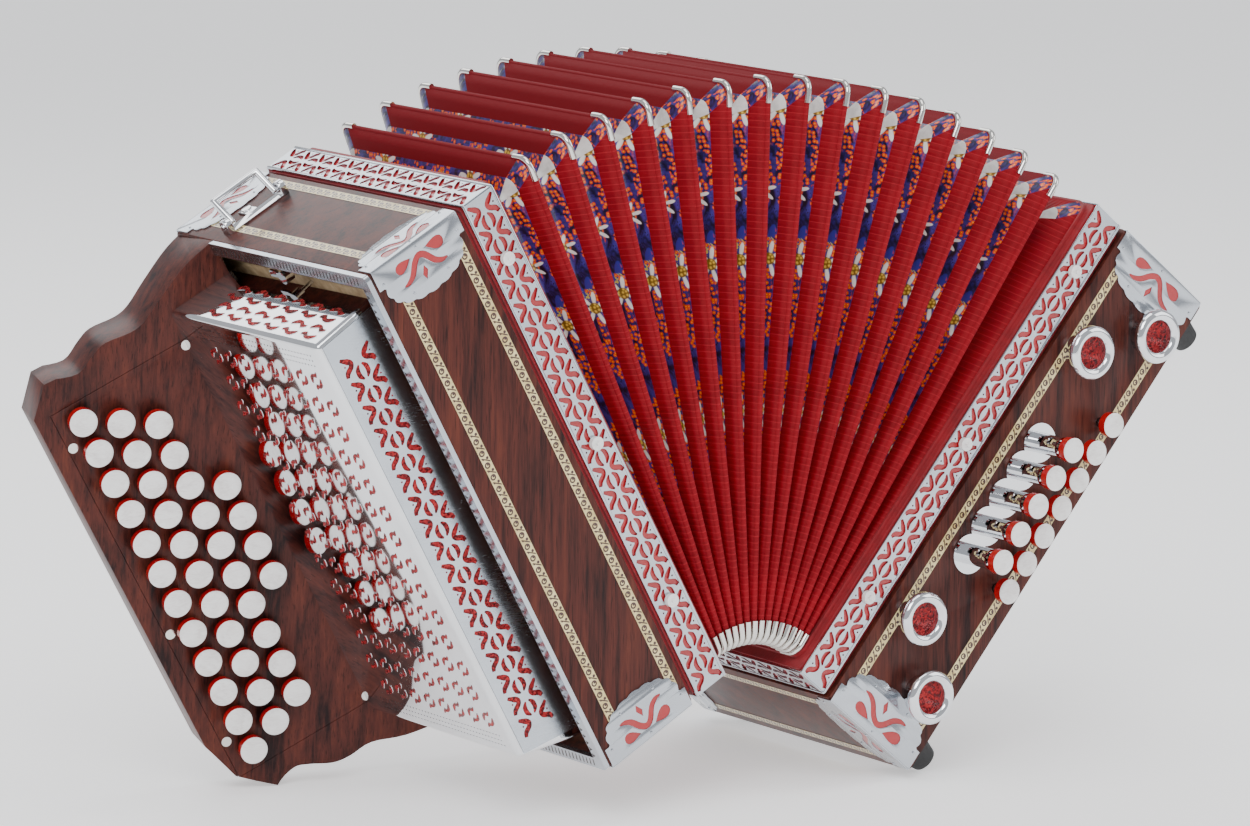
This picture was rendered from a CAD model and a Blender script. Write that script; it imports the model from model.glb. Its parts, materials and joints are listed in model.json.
"""Looks of a button accordion that stands with its bellows fanned open.

Every length below is in millimetres, in the closed instrument's own frame: x runs
from the treble casing to the bass casing, y from the front face to the back, z up
the casings, with 0 at the treble casing's outer, front and lower edges. FAN[n] is
the matrix that carries such a shape to where the n-th bellows body stands.
"""

import json
import math

import bmesh
import bpy
from mathutils import Matrix, Vector

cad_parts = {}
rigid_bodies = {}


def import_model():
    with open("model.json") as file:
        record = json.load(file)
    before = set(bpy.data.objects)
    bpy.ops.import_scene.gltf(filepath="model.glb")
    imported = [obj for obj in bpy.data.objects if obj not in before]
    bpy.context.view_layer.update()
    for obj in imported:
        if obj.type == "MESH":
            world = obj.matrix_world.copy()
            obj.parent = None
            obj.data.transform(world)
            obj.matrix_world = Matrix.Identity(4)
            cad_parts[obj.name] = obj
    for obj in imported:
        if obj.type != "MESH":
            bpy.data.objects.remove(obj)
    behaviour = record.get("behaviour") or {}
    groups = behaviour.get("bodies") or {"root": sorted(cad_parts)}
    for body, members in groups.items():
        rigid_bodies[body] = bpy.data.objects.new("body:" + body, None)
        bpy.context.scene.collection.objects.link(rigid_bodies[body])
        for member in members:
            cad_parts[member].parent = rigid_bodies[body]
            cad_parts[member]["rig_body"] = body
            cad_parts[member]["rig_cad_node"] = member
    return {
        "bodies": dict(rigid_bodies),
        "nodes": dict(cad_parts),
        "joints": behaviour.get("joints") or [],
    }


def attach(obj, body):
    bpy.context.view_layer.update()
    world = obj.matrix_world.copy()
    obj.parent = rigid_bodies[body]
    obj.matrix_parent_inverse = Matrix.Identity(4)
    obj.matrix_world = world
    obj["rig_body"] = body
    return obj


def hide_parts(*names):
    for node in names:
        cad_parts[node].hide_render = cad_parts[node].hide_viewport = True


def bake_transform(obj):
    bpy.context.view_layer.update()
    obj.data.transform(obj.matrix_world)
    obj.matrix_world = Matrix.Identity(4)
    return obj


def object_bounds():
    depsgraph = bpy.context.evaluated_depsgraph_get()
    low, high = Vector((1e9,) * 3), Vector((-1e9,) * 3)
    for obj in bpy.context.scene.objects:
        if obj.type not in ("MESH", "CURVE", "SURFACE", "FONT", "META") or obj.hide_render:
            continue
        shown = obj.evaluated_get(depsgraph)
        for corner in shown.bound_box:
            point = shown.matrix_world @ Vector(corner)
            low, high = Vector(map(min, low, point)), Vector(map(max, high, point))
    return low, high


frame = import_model()
cad_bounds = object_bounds()
bpy.ops.object.select_all(action="DESELECT")

# ---------------------------------------------------------------- sizes, in mm
CASING_H = 340
CASING_D = 206
TREBLE_W = 66
BASS_W = 79
LINER_W = 3
FRAME_W = 25
FLAP_W = 2.5
FOLD_T = 4
FOLD_GAP = 0.3
FOLD_Y = 6
FOLD_Z0 = 8
FOLD_TOP = 338
FOLD_R = 8
BOARD_Y = 164
BOARD_TILT = math.radians(15.5)
BUTTON_D = 16.5
BUTTON_T = 5.6
BUTTON_RISE = 3.9

JOINTS = {joint["name"]: joint for joint in frame["joints"]}
FOLDS = sum(1 for body in frame["bodies"] if body.startswith("bellows_fold"))
STEP = math.radians(-JOINTS["bellows_hinge_bass"]["range_deg"][0])

FRAME_X = TREBLE_W + LINER_W
FOLD_X0 = FRAME_X + FRAME_W + FLAP_W
BASS_HINGE_X = FOLD_X0 + FOLDS * FOLD_T
BASS_FRAME_X = BASS_HINGE_X + FLAP_W
BASS_X = BASS_FRAME_X + FRAME_W + LINER_W

# ------------------------------------------------------- frames, from the joints


def treble_matrix():
    """Closed-instrument millimetres to metres on the standing treble side."""
    bail = JOINTS["strap_bail_swing"]
    along_x = Vector(bail["axis"])
    along_z = -Vector(JOINTS["treble_levers_1_turn"]["axis"])
    turn = Matrix((along_x, Vector((0, 1, 0)), along_z)).transposed().to_4x4()
    bail_pin = Vector((30, CASING_D - 47, CASING_H + 5)) * 0.001
    return Matrix.Translation(Vector(bail["pos_m"]) - turn @ bail_pin) @ turn @ Matrix.Scale(0.001, 4)


def fan_matrices():
    """One matrix for each body of the fan, from the treble side to the bass side."""
    found = [treble_matrix()]
    for n in range(1, FOLDS + 2):
        name = "bellows_hinge_bass" if n > FOLDS else f"bellows_hinge_{n:02d}"
        hinge = Vector(JOINTS[name]["pos_m"])
        turn = Matrix.Translation(hinge) @ Matrix.Rotation(STEP, 4, "Y") @ Matrix.Translation(-hinge)
        found.append(turn @ found[-1])
    return found


FAN = fan_matrices()
TREBLE = FAN[0]
BASS = FAN[-1]
BOARD = TREBLE @ Matrix.Translation((0, BOARD_Y, 0)) @ Matrix.Rotation(-BOARD_TILT, 4, "Z")
BODIES = ["treble_side"] + [f"bellows_fold_{n:02d}" for n in range(1, FOLDS + 1)] + ["bass_side"]
LEAN = math.atan2(TREBLE[2][0], TREBLE[0][0])
BASS_LEAN = math.atan2(BASS[2][0], BASS[0][0])

# ------------------------------------------------------------- material helpers


class Paint:
    """A material and its node tree, with short calls for the nodes that are used."""

    def __init__(self, name, color=(0.5, 0.5, 0.5), rough=0.5, metal=0.0, **sockets):
        self.material = bpy.data.materials.new(name)
        self.material.use_nodes = True
        self.tree = self.material.node_tree
        self.shader = self.tree.nodes["Principled BSDF"]
        self.shader.inputs["Base Color"].default_value = (*color, 1)
        self.shader.inputs["Roughness"].default_value = rough
        self.shader.inputs["Metallic"].default_value = metal
        for socket, value in sockets.items():
            self.shader.inputs[socket.replace("_", " ")].default_value = value

    def add(self, kind, **settings):
        node = self.tree.nodes.new(kind)
        for key, value in settings.items():
            setattr(node, key, value)
        return node

    def feed(self, source, target):
        self.tree.links.new(source, target)

    def coords(self, kind="Object", turn=(0, 0, 0), scale=(1, 1, 1), shift=(0, 0, 0)):
        source = self.add("ShaderNodeTexCoord").outputs[kind]
        mapping = self.add("ShaderNodeMapping")
        mapping.inputs["Rotation"].default_value = turn
        mapping.inputs["Scale"].default_value = scale
        mapping.inputs["Location"].default_value = shift
        self.feed(source, mapping.inputs["Vector"])
        return mapping.outputs["Vector"]

    def math(self, operation, first, second=0.0, third=None):
        node = self.add("ShaderNodeMath", operation=operation)
        for slot, value in enumerate((first, second, third)):
            if value is None:
                continue
            if isinstance(value, (int, float)):
                node.inputs[slot].default_value = value
            else:
                self.feed(value, node.inputs[slot])
        return node.outputs[0]

    def weighed(self, first, share, second, other_share):
        left = self.math("MULTIPLY", first, share)
        return self.math("ADD", left, self.math("MULTIPLY", second, other_share))

    def less(self, value):
        """One less the value."""
        return self.math("SUBTRACT", 1.0, value)

    def length(self, x, y):
        squares = self.math("ADD", self.math("MULTIPLY", x, x), self.math("MULTIPLY", y, y))
        return self.math("SQRT", squares)

    def split(self, vector):
        node = self.add("ShaderNodeSeparateXYZ")
        self.feed(vector, node.inputs[0])
        return node.outputs

    def noise(self, vector, scale, detail=3.0, rough=0.5, distortion=0.0):
        node = self.add("ShaderNodeTexNoise")
        self.feed(vector, node.inputs["Vector"])
        node.inputs["Scale"].default_value = scale
        node.inputs["Detail"].default_value = detail
        node.inputs["Roughness"].default_value = rough
        node.inputs["Distortion"].default_value = distortion
        return node.outputs["Fac"]

    def cells(self, vector, scale, flat=False, randomness=1.0):
        node = self.add("ShaderNodeTexVoronoi", voronoi_dimensions="2D" if flat else "3D")
        self.feed(vector, node.inputs["Vector"])
        node.inputs["Scale"].default_value = scale
        node.inputs["Randomness"].default_value = randomness
        return node.outputs

    def ramp(self, value, *stops):
        node = self.add("ShaderNodeValToRGB")
        elements = node.color_ramp.elements
        while len(elements) < len(stops):
            elements.new(0.5)
        for element, (place, color) in zip(elements, stops):
            element.position = place
            element.color = (*color, 1)
        self.feed(value, node.inputs[0])
        return node.outputs["Color"]

    def mix(self, mask, first, second):
        node = self.add("ShaderNodeMix", data_type="RGBA")
        for slot, value in ((0, mask), (6, first), (7, second)):
            if isinstance(value, tuple):
                node.inputs[slot].default_value = (*value, 1)
            elif isinstance(value, (int, float)):
                node.inputs[slot].default_value = value
            else:
                self.feed(value, node.inputs[slot])
        return node.outputs[2]

    def span(self, value, low, high):
        """0 below low, 1 above high, with a smooth rise between them."""
        node = self.add("ShaderNodeMapRange", interpolation_type="SMOOTHSTEP")
        self.feed(value, node.inputs["Value"])
        node.inputs["From Min"].default_value = low
        node.inputs["From Max"].default_value = high
        return node.outputs[0]

    def color(self, value):
        self.feed(value, self.shader.inputs["Base Color"])
        return self

    def rough(self, value, low, high):
        node = self.add("ShaderNodeMapRange")
        self.feed(value, node.inputs["Value"])
        node.inputs["To Min"].default_value = low
        node.inputs["To Max"].default_value = high
        self.feed(node.outputs[0], self.shader.inputs["Roughness"])
        return self

    def bump(self, height, depth_mm, strength=1.0):
        node = self.add("ShaderNodeBump")
        node.inputs["Distance"].default_value = depth_mm * 0.001
        node.inputs["Strength"].default_value = strength
        self.feed(height, node.inputs["Height"])
        self.feed(node.outputs[0], self.shader.inputs["Normal"])
        return self


# -------------------------------------------------------------------- materials


def rosewood(name, lean):
    """Dark red-brown wood under lacquer. Its streaks run upright, not along the lean."""
    paint = Paint(name, rough=0.42, Coat_Weight=0.05, Coat_Roughness=0.2, Specular_IOR_Level=0.16)
    along = paint.coords(turn=(0, lean, 0), scale=(1, 1, 0.06))
    wander = paint.noise(along, 70, 4, 0.6, 0.8)
    streak = paint.noise(along, 340, 6, 0.7, 0.3)
    fine = paint.noise(along, 1100, 2, 0.5)
    tone = paint.weighed(wander, 0.5, streak, 0.5)
    base = paint.ramp(
        tone,
        (0.38, (0.014, 0.005, 0.005)),
        (0.45, (0.050, 0.013, 0.010)),
        (0.53, (0.085, 0.020, 0.014)),
        (0.66, (0.135, 0.032, 0.019)),
    )
    pores = paint.span(fine, 0.58, 0.70)
    paint.color(paint.mix(paint.math("MULTIPLY", pores, 0.6), base, (0.008, 0.003, 0.003)))
    paint.rough(streak, 0.28, 0.45)
    paint.bump(paint.less(pores), 0.05, 0.2)
    return paint.material


def plated(name, color, rough, grain=0.0):
    """Nickel or chrome plate with faint wipe marks."""
    paint = Paint(name, color, rough, 1.0)
    where = paint.coords()
    cloud = paint.noise(where, 35, 3)
    marks = paint.noise(paint.coords(scale=(1, 1, 9)), 240, 3, 0.6)
    paint.rough(paint.math("MULTIPLY", cloud, marks), rough * 0.6, rough * 1.9)
    paint.color(paint.mix(paint.span(cloud, 0.35, 0.75), color, tuple(0.93 * c for c in color)))
    if grain:
        paint.bump(marks, grain, 0.3)
    return paint.material


def glitter(name):
    """Red foil cloth, crumpled and sparkling."""
    paint = Paint(name, (0.36, 0.006, 0.014), 0.28, 0.35)
    where = paint.coords()
    flakes = paint.cells(where, 900)
    lumps = paint.noise(where, 420, 3, 0.6)
    sparkle = paint.split(flakes["Color"])[0]
    paint.color(
        paint.ramp(
            paint.weighed(sparkle, 0.55, lumps, 0.5),
            (0.25, (0.06, 0.0, 0.002)),
            (0.6, (0.32, 0.003, 0.007)),
            (0.92, (0.72, 0.04, 0.04)),
        )
    )
    paint.rough(sparkle, 0.12, 0.5)
    paint.bump(paint.math("ADD", flakes["Distance"], lumps), 0.5, 0.7)
    return paint.material


def ribbed_tape(name):
    """Red binding cloth with pressed ribs across it; u runs along the tape."""
    paint = Paint(name, rough=0.6, Specular_IOR_Level=0.14)
    along = paint.split(paint.coords("UV"))[0]
    rib = paint.math("PINGPONG", along, 1.95)
    ridge = paint.span(rib, 0.0, 0.42)
    swell = paint.span(rib, 0.2, 1.9)
    weave = paint.noise(paint.coords("UV"), 3.2, 3)
    flush = paint.noise(paint.coords("UV", scale=(0.06, 0.06, 1)), 1.0, 2)
    cloth = paint.ramp(
        paint.weighed(weave, 0.6, flush, 0.4),
        (0.3, (0.15, 0.002, 0.006)),
        (0.7, (0.31, 0.004, 0.012)),
    )
    paint.color(paint.mix(ridge, (0.33, 0.012, 0.020), cloth))
    paint.rough(weave, 0.52, 0.72)
    height = paint.weighed(swell, 0.8, weave, 0.2)
    paint.bump(height, 0.5, 0.7)
    return paint.material


def smooth_tape(name):
    """The same binding cloth without ribs, a shade darker."""
    paint = Paint(name, rough=0.65, Specular_IOR_Level=0.14)
    threads = paint.noise(paint.coords("UV", scale=(1, 6, 1)), 2.4, 4, 0.65)
    paint.color(paint.ramp(threads, (0.3, (0.11, 0.002, 0.005)), (0.72, (0.24, 0.004, 0.010))))
    paint.bump(threads, 0.12, 0.5)
    return paint.material


def placed_flower(paint, u, v, spacing, shift, v_at, reach, petals, turn):
    """Masks of a flower that comes once in each spacing along u: petals, heart, shade."""
    step = paint.math("MODULO", paint.math("ADD", u, 5000 + shift), spacing)
    near = paint.math("SUBTRACT", step, spacing / 2)
    high = paint.math("SUBTRACT", paint.math("ABSOLUTE", v), v_at)
    angle = paint.math("ARCTAN2", high, near)
    swing = paint.math("COSINE", paint.math("MULTIPLY_ADD", angle, petals / 2, turn))
    lobes = paint.math("ABSOLUTE", swing)
    length = paint.length(near, high)
    edge = paint.math("MULTIPLY_ADD", paint.math("POWER", lobes, 2.4), reach * 0.72, reach * 0.28)
    ratio = paint.math("DIVIDE", length, edge)
    petal = paint.less(paint.span(ratio, 0.9, 1.0))
    heart = paint.less(paint.span(length, reach * 0.30, reach * 0.34))
    return petal, heart, lobes


def flower_paper(name):
    """Printed paper: navy and violet leaves, white star flowers, orange blossoms."""
    paint = Paint(name, rough=0.35, Coat_Weight=0.2, Coat_Roughness=0.2)
    where = paint.coords("UV")
    u, v, _ = paint.split(where)
    blotch = paint.noise(paint.coords("UV", scale=(0.10, 0.16, 1)), 1.0, 3, 0.55, 1.6)
    ground = paint.ramp(
        blotch,
        (0.36, (0.008, 0.005, 0.018)),
        (0.44, (0.020, 0.012, 0.070)),
        (0.52, (0.036, 0.022, 0.17)),
        (0.66, (0.060, 0.040, 0.28)),
    )
    leaf = paint.span(paint.noise(paint.coords("UV", scale=(0.3, 0.45, 1)), 1.0, 3, 0.6, 2.0), 0.60, 0.63)
    ground = paint.mix(leaf, ground, (0.010, 0.008, 0.016))
    bell, bell_heart, _ = placed_flower(paint, u, v, 118.0, 44, 14.0, 12.0, 5, 0.6)
    ground = paint.mix(bell, ground, (0.034, 0.030, 0.27))
    speck = paint.math("MULTIPLY", bell_heart, paint.span(paint.noise(where, 0.7, 2), 0.5, 0.56))
    ground = paint.mix(speck, ground, (0.62, 0.50, 0.08))
    dots = paint.cells(where, 0.36, True, 0.7)
    blossom = paint.less(paint.span(dots["Distance"], 0.36, 0.46))
    wave = paint.noise(paint.coords("UV", scale=(0.055, 0.10, 1), shift=(3, 7, 0)), 1.0, 2, 0.5, 1.0)
    on_spray = paint.math("MULTIPLY", blossom, paint.span(wave, 0.44, 0.48))
    orange = paint.ramp(dots["Distance"], (0.05, (0.95, 0.42, 0.03)), (0.2, (0.78, 0.07, 0.006)))
    ground = paint.mix(on_spray, ground, orange)
    for spacing, shift, v_at, reach, turn in ((88.0, 0, 13.0, 11.0, 0.5), (131.0, -25, 20.0, 9.0, 1.4)):
        star, star_heart, lobes = placed_flower(paint, u, v, spacing, shift, v_at, reach, 7, turn)
        shade = paint.ramp(
            lobes,
            (0.45, (0.16, 0.12, 0.10)),
            (0.7, (0.58, 0.54, 0.46)),
            (0.92, (0.84, 0.83, 0.80)),
        )
        ground = paint.mix(star, ground, shade)
        knots = paint.cells(where, 0.5, True)
        gold = paint.ramp(knots["Distance"], (0.1, (0.86, 0.58, 0.09)), (0.55, (0.20, 0.10, 0.01)))
        ground = paint.mix(star_heart, ground, gold)
    paint.color(ground)
    return paint.material


def leather(name, color):
    paint = Paint(name, color, 0.55, Sheen_Weight=0.15)
    where = paint.coords()
    grain = paint.cells(where, 700)["Distance"]
    crease = paint.noise(where, 90, 4, 0.6, 0.5)
    paint.color(paint.ramp(crease, (0.3, tuple(0.62 * c for c in color)), (0.65, color)))
    paint.bump(paint.math("ADD", grain, crease), 0.15, 0.5)
    return paint.material


def scroll_inlay(name):
    """Cream banding with a dark scroll in each step; u runs along it, v across it."""
    paint = Paint(name, rough=0.3, Coat_Weight=0.5, Coat_Roughness=0.1)
    u, v, _ = paint.split(paint.coords("UV"))
    cell = paint.math("SUBTRACT", paint.math("MODULO", paint.math("ADD", u, 4000.0), 8.0), 4.0)

    def ring(cx, cy, radius, width):
        dx = paint.math("SUBTRACT", cell, cx)
        dy = paint.math("SUBTRACT", v, cy)
        away = paint.length(dx, dy)
        off = paint.math("ABSOLUTE", paint.math("SUBTRACT", away, radius))
        return paint.less(paint.span(off, width * 0.4, width * 0.62))

    large = ring(-1.5, 0.45, 1.45, 0.95)
    small = ring(-1.1, 0.0, 0.25, 0.9)
    lean = paint.math("SUBTRACT", v, paint.math("MULTIPLY", cell, 1.15))
    slash = paint.math("ABSOLUTE", paint.math("ADD", lean, 2.4))
    bar = paint.less(paint.span(slash, 0.45, 0.75))
    dot = ring(3.0, 1.4, 0.2, 0.9)
    leaf = ring(2.6, -1.5, 0.35, 1.1)
    marks = large
    for part in (small, bar, dot, leaf):
        marks = paint.math("MAXIMUM", marks, part)
    inside = paint.less(paint.span(paint.math("ABSOLUTE", v), 2.45, 2.6))
    marks = paint.math("MULTIPLY", marks, inside)
    border = paint.span(paint.math("ABSOLUTE", v), 2.85, 3.0)
    cloud = paint.noise(paint.coords(), 160, 3)
    cream = paint.ramp(cloud, (0.3, (0.60, 0.44, 0.16)), (0.7, (0.86, 0.72, 0.36)))
    dark = paint.mix(marks, cream, (0.045, 0.010, 0.006))
    paint.color(paint.mix(border, dark, (0.06, 0.03, 0.015)))
    return paint.material


def pearl(name):
    """White mother-of-pearl with soft bands."""
    paint = Paint(name, rough=0.14, Coat_Weight=0.8, Coat_Roughness=0.05)
    where = paint.coords()
    cloud = paint.noise(where, 60, 3, 0.5, 1.2)
    band = paint.noise(paint.coords(scale=(1, 1, 3)), 150, 2, 0.5, 2.0)
    paint.color(
        paint.ramp(
            paint.weighed(cloud, 0.6, band, 0.4),
            (0.3, (0.72, 0.68, 0.66)),
            (0.5, (0.88, 0.86, 0.84)),
            (0.68, (0.95, 0.95, 0.93)),
        )
    )
    return paint.material


def plastic(name, color, rough=0.25):
    paint = Paint(name, color, rough, Coat_Weight=0.5, Coat_Roughness=0.1)
    cloud = paint.noise(paint.coords(), 120, 2)
    paint.color(paint.ramp(cloud, (0.3, tuple(0.85 * c for c in color)), (0.7, color)))
    return paint.material


def spruce(name):
    paint = Paint(name, rough=0.6)
    rings = paint.noise(paint.coords(turn=(0, LEAN, 0), scale=(1, 1, 0.05)), 260, 3)
    paint.color(paint.ramp(rings, (0.3, (0.45, 0.30, 0.15)), (0.7, (0.68, 0.50, 0.29))))
    paint.bump(rings, 0.1, 0.4)
    return paint.material


def rubber(name):
    paint = Paint(name, (0.012, 0.012, 0.013), 0.6)
    speck = paint.noise(paint.coords(), 500, 4)
    paint.rough(speck, 0.45, 0.75)
    paint.bump(speck, 0.1, 0.4)
    return paint.material


PAINTS = {
    "wood_treble": rosewood("rosewood_treble", LEAN),
    "wood_bass": rosewood("rosewood_bass", BASS_LEAN),
    "nickel": plated("satin_nickel", (0.52, 0.55, 0.59), 0.2, 0.02),
    "satin": plated("satin_chrome", (0.57, 0.61, 0.66), 0.26),
    "shadow": plastic("dark_gap", (0.012, 0.004, 0.004), 0.6),
    "chrome": plated("bright_chrome", (0.80, 0.81, 0.83), 0.05),
    "rod": plated("polished_nickel", (0.74, 0.72, 0.68), 0.12),
    "foil": glitter("red_foil_cloth"),
    "ribbed": ribbed_tape("red_ribbed_tape"),
    "tape": smooth_tape("red_smooth_tape"),
    "paper": flower_paper("flower_paper"),
    "gusset": leather("white_gusset_leather", (0.78, 0.77, 0.74)),
    "liner": leather("red_liner", (0.30, 0.005, 0.012)),
    "inlay": scroll_inlay("scroll_inlay"),
    "pearl": pearl("white_pearl"),
    "button_red": plastic("red_button_body", (0.50, 0.006, 0.008)),
    "enamel": plastic("red_enamel", (0.46, 0.004, 0.009), 0.18),
    "black": rubber("black_rubber"),
    "spruce": spruce("plain_spruce"),
    "steel": plated("plain_steel", (0.52, 0.52, 0.53), 0.3, 0.02),
}

# ---------------------------------------------------------------- piece helpers


def own(piece, place, body, slot, *paints, smooth=None):
    """Sets a finished mesh in its place, gives it its materials and its body."""
    piece.data.transform(place)
    if place.determinant() < 0:
        piece.data.flip_normals()
    slots = [face.material_index for face in piece.data.polygons]
    piece.data.materials.clear()
    for paint in paints:
        piece.data.materials.append(PAINTS[paint])
    piece.data.polygons.foreach_set("material_index", slots)
    if smooth is not None:
        select_only(piece)
        bpy.ops.object.shade_smooth_by_angle(angle=math.radians(smooth))
    bpy.ops.object.select_all(action="DESELECT")
    if body:
        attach(piece, body)
    return piece


def linked(name, data):
    piece = bpy.data.objects.new(name, data)
    bpy.context.scene.collection.objects.link(piece)
    return piece


def from_mesh(name, mesh):
    """A piece from mesh code's work."""
    data = bpy.data.meshes.new(name)
    mesh.to_mesh(data)
    mesh.free()
    return linked(name, data)


def applied(piece, kind, **settings):
    """Adds a modifier, sets it and applies it."""
    modifier = piece.modifiers.new("step", kind)
    for key, value in settings.items():
        setattr(modifier, key, value)
    select_only(piece)
    bpy.ops.object.modifier_apply(modifier="step")


def select_only(piece):
    bpy.ops.object.select_all(action="DESELECT")
    piece.select_set(True)
    bpy.context.view_layer.objects.active = piece


def joined(name, pieces):
    """Several meshes made one piece."""
    bpy.ops.object.select_all(action="DESELECT")
    for piece in pieces:
        piece.select_set(True)
    bpy.context.view_layer.objects.active = pieces[0]
    if len(pieces) > 1:
        bpy.ops.object.join()
    pieces[0].name = name
    pieces[0].data.name = name
    bpy.ops.object.select_all(action="DESELECT")
    return pieces[0]


def copied(piece, place):
    """A copy with its own mesh, moved by place."""
    twin = piece.copy()
    twin.data = piece.data.copy()
    bpy.context.scene.collection.objects.link(twin)
    twin.data.transform(place)
    if place.determinant() < 0:
        twin.data.flip_normals()
    return twin


def dropped(piece):
    bpy.data.meshes.remove(piece.data)


def cutout(name, outlines, thick, bevel=0.0, detail=6):
    """A flat plate in x and y from closed outlines: the first is its edge, the rest holes.

    Each outline is a list of points; the plate is thick along z, from 0 up.
    """
    curve = bpy.data.curves.new(name, "CURVE")
    curve.dimensions = "2D"
    curve.fill_mode = "BOTH"
    curve.extrude = thick / 2 - bevel
    curve.bevel_depth = bevel
    curve.bevel_resolution = 1
    curve.resolution_u = detail
    for points in outlines:
        spline = curve.splines.new("POLY")
        spline.points.add(len(points) - 1)
        for point, (x, y) in zip(spline.points, points):
            point.co = (x, y, 0, 1)
        spline.use_cyclic_u = True
    piece = linked(name, curve)
    select_only(piece)
    bpy.ops.object.convert(target="MESH")
    piece = bpy.context.view_layer.objects.active
    piece.data.transform(Matrix.Translation((0, 0, thick / 2)))
    merged(piece)
    return piece


def merged(piece, distance=0.01):
    select_only(piece)
    bpy.ops.object.mode_set(mode="EDIT")
    bpy.ops.mesh.select_all(action="SELECT")
    bpy.ops.mesh.remove_doubles(threshold=distance)
    bpy.ops.mesh.normals_make_consistent(inside=False)
    bpy.ops.object.mode_set(mode="OBJECT")
    bpy.ops.object.select_all(action="DESELECT")


def arc(cx, cy, radius, start, stop, steps):
    """Points on an arc, angles in degrees."""
    turn = [math.radians(start + (stop - start) * k / steps) for k in range(steps + 1)]
    return [(cx + radius * math.cos(a), cy + radius * math.sin(a)) for a in turn]


def ribbon(line, widths):
    """The outline of a stroke of changing width along a line of points."""
    left, right = [], []
    for k, (x, y) in enumerate(line):
        before = Vector(line[max(k - 1, 0)])
        after = Vector(line[min(k + 1, len(line) - 1)])
        along = (after - before).normalized()
        half = widths[k] / 2
        left.append((x - along.y * half, y + along.x * half))
        right.append((x + along.y * half, y - along.x * half))
    return left + right[::-1]


def smooth_line(points, steps=4):
    """A smooth line through points."""
    padded = [points[0], *points, points[-1]]
    line = []
    for i in range(1, len(padded) - 2):
        a, b, c, d = (Vector(padded[i + k]) for k in (-1, 0, 1, 2))
        for k in range(steps):
            t = k / steps
            line.append(tuple(0.5 * (2 * b + (c - a) * t + (2 * a - 5 * b + 4 * c - d) * t * t
                                     + (3 * b - a - 3 * c + d) * t ** 3)))
    line.append(tuple(points[-1]))
    return line


def mirrored(points, x=1, y=1):
    flipped = [(x * px, y * py) for px, py in points]
    return flipped if x * y > 0 else flipped[::-1]


def slab_uv(piece, along=(1, 0, 0), across=(0, 1, 0)):
    """A UV map in millimetres on a piece still in its own flat frame."""
    while piece.data.uv_layers:
        piece.data.uv_layers.remove(piece.data.uv_layers[0])
    layer = piece.data.uv_layers.new(name="UVMap")
    u, v = Vector(along), Vector(across)
    for loop in piece.data.loops:
        co = piece.data.vertices[loop.vertex_index].co
        layer.data[loop.index].uv = (co.dot(u), co.dot(v))


def plane_frame(origin, along, across):
    """A matrix whose x runs along, y across and z out of a face."""
    x = Vector(along).normalized()
    y = Vector(across).normalized()
    z = x.cross(y)
    turn = Matrix((x, y, z)).transposed().to_4x4()
    return Matrix.Translation(origin) @ turn


def bar_mesh(name, size, place, bevel=0.0, segments=2):
    """A box of that size on its lower corner, with rounded edges."""
    bpy.ops.mesh.primitive_cube_add(size=1)
    piece = bpy.context.object
    piece.name = name
    piece.data.transform(Matrix.Diagonal((*size, 1)) @ Matrix.Translation((0.5, 0.5, 0.5)))
    if bevel:
        select_only(piece)
        bpy.ops.object.mode_set(mode="EDIT")
        bpy.ops.mesh.select_all(action="SELECT")
        bpy.ops.mesh.bevel(offset=bevel, segments=segments, affect="EDGES")
        bpy.ops.object.mode_set(mode="OBJECT")
    piece.data.transform(place)
    return piece


def softened(name, node, width, body, slot, paint, angle=35, segments=3):
    """A CAD node's copy, merged into clean faces, with its edges rounded."""
    source = frame["nodes"][node]
    piece = source.copy()
    piece.data = source.data.copy()
    piece.name = name
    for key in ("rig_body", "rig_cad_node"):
        if key in piece:
            del piece[key]
    piece.parent = None
    bpy.context.scene.collection.objects.link(piece)
    select_only(piece)
    bpy.ops.object.mode_set(mode="EDIT")
    bpy.ops.mesh.select_all(action="SELECT")
    bpy.ops.mesh.remove_doubles(threshold=0.00002)
    bpy.ops.mesh.dissolve_limited(angle_limit=math.radians(0.5))
    bpy.ops.object.mode_set(mode="OBJECT")
    limit = math.radians(angle)
    applied(piece, "BEVEL", width=width * 0.001, segments=segments, limit_method="ANGLE", angle_limit=limit)
    own(piece, Matrix.Identity(4), body, slot, paint, smooth=35)
    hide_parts(node)
    return piece


# ---------------------------------------------------------------------- casings


def make_casings():
    softened("treble_casing_wood", "treble_casing", 1.0, "treble_side", "rosewood", "wood_treble")
    softened("bass_casing_wood", "bass_casing", 1.0, "bass_side", "rosewood", "wood_bass")
    softened("bass_cover_wood", "bass_cover", 1.0, "bass_side", "rosewood", "wood_bass")
    softened("fingerboard_wood", "fingerboard", 2.2, "treble_side", "rosewood", "wood_treble", 50)
    softened("button_plate_wood", "button_plate", 0.35, "treble_side", "rosewood", "wood_treble", 60, 2)


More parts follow.
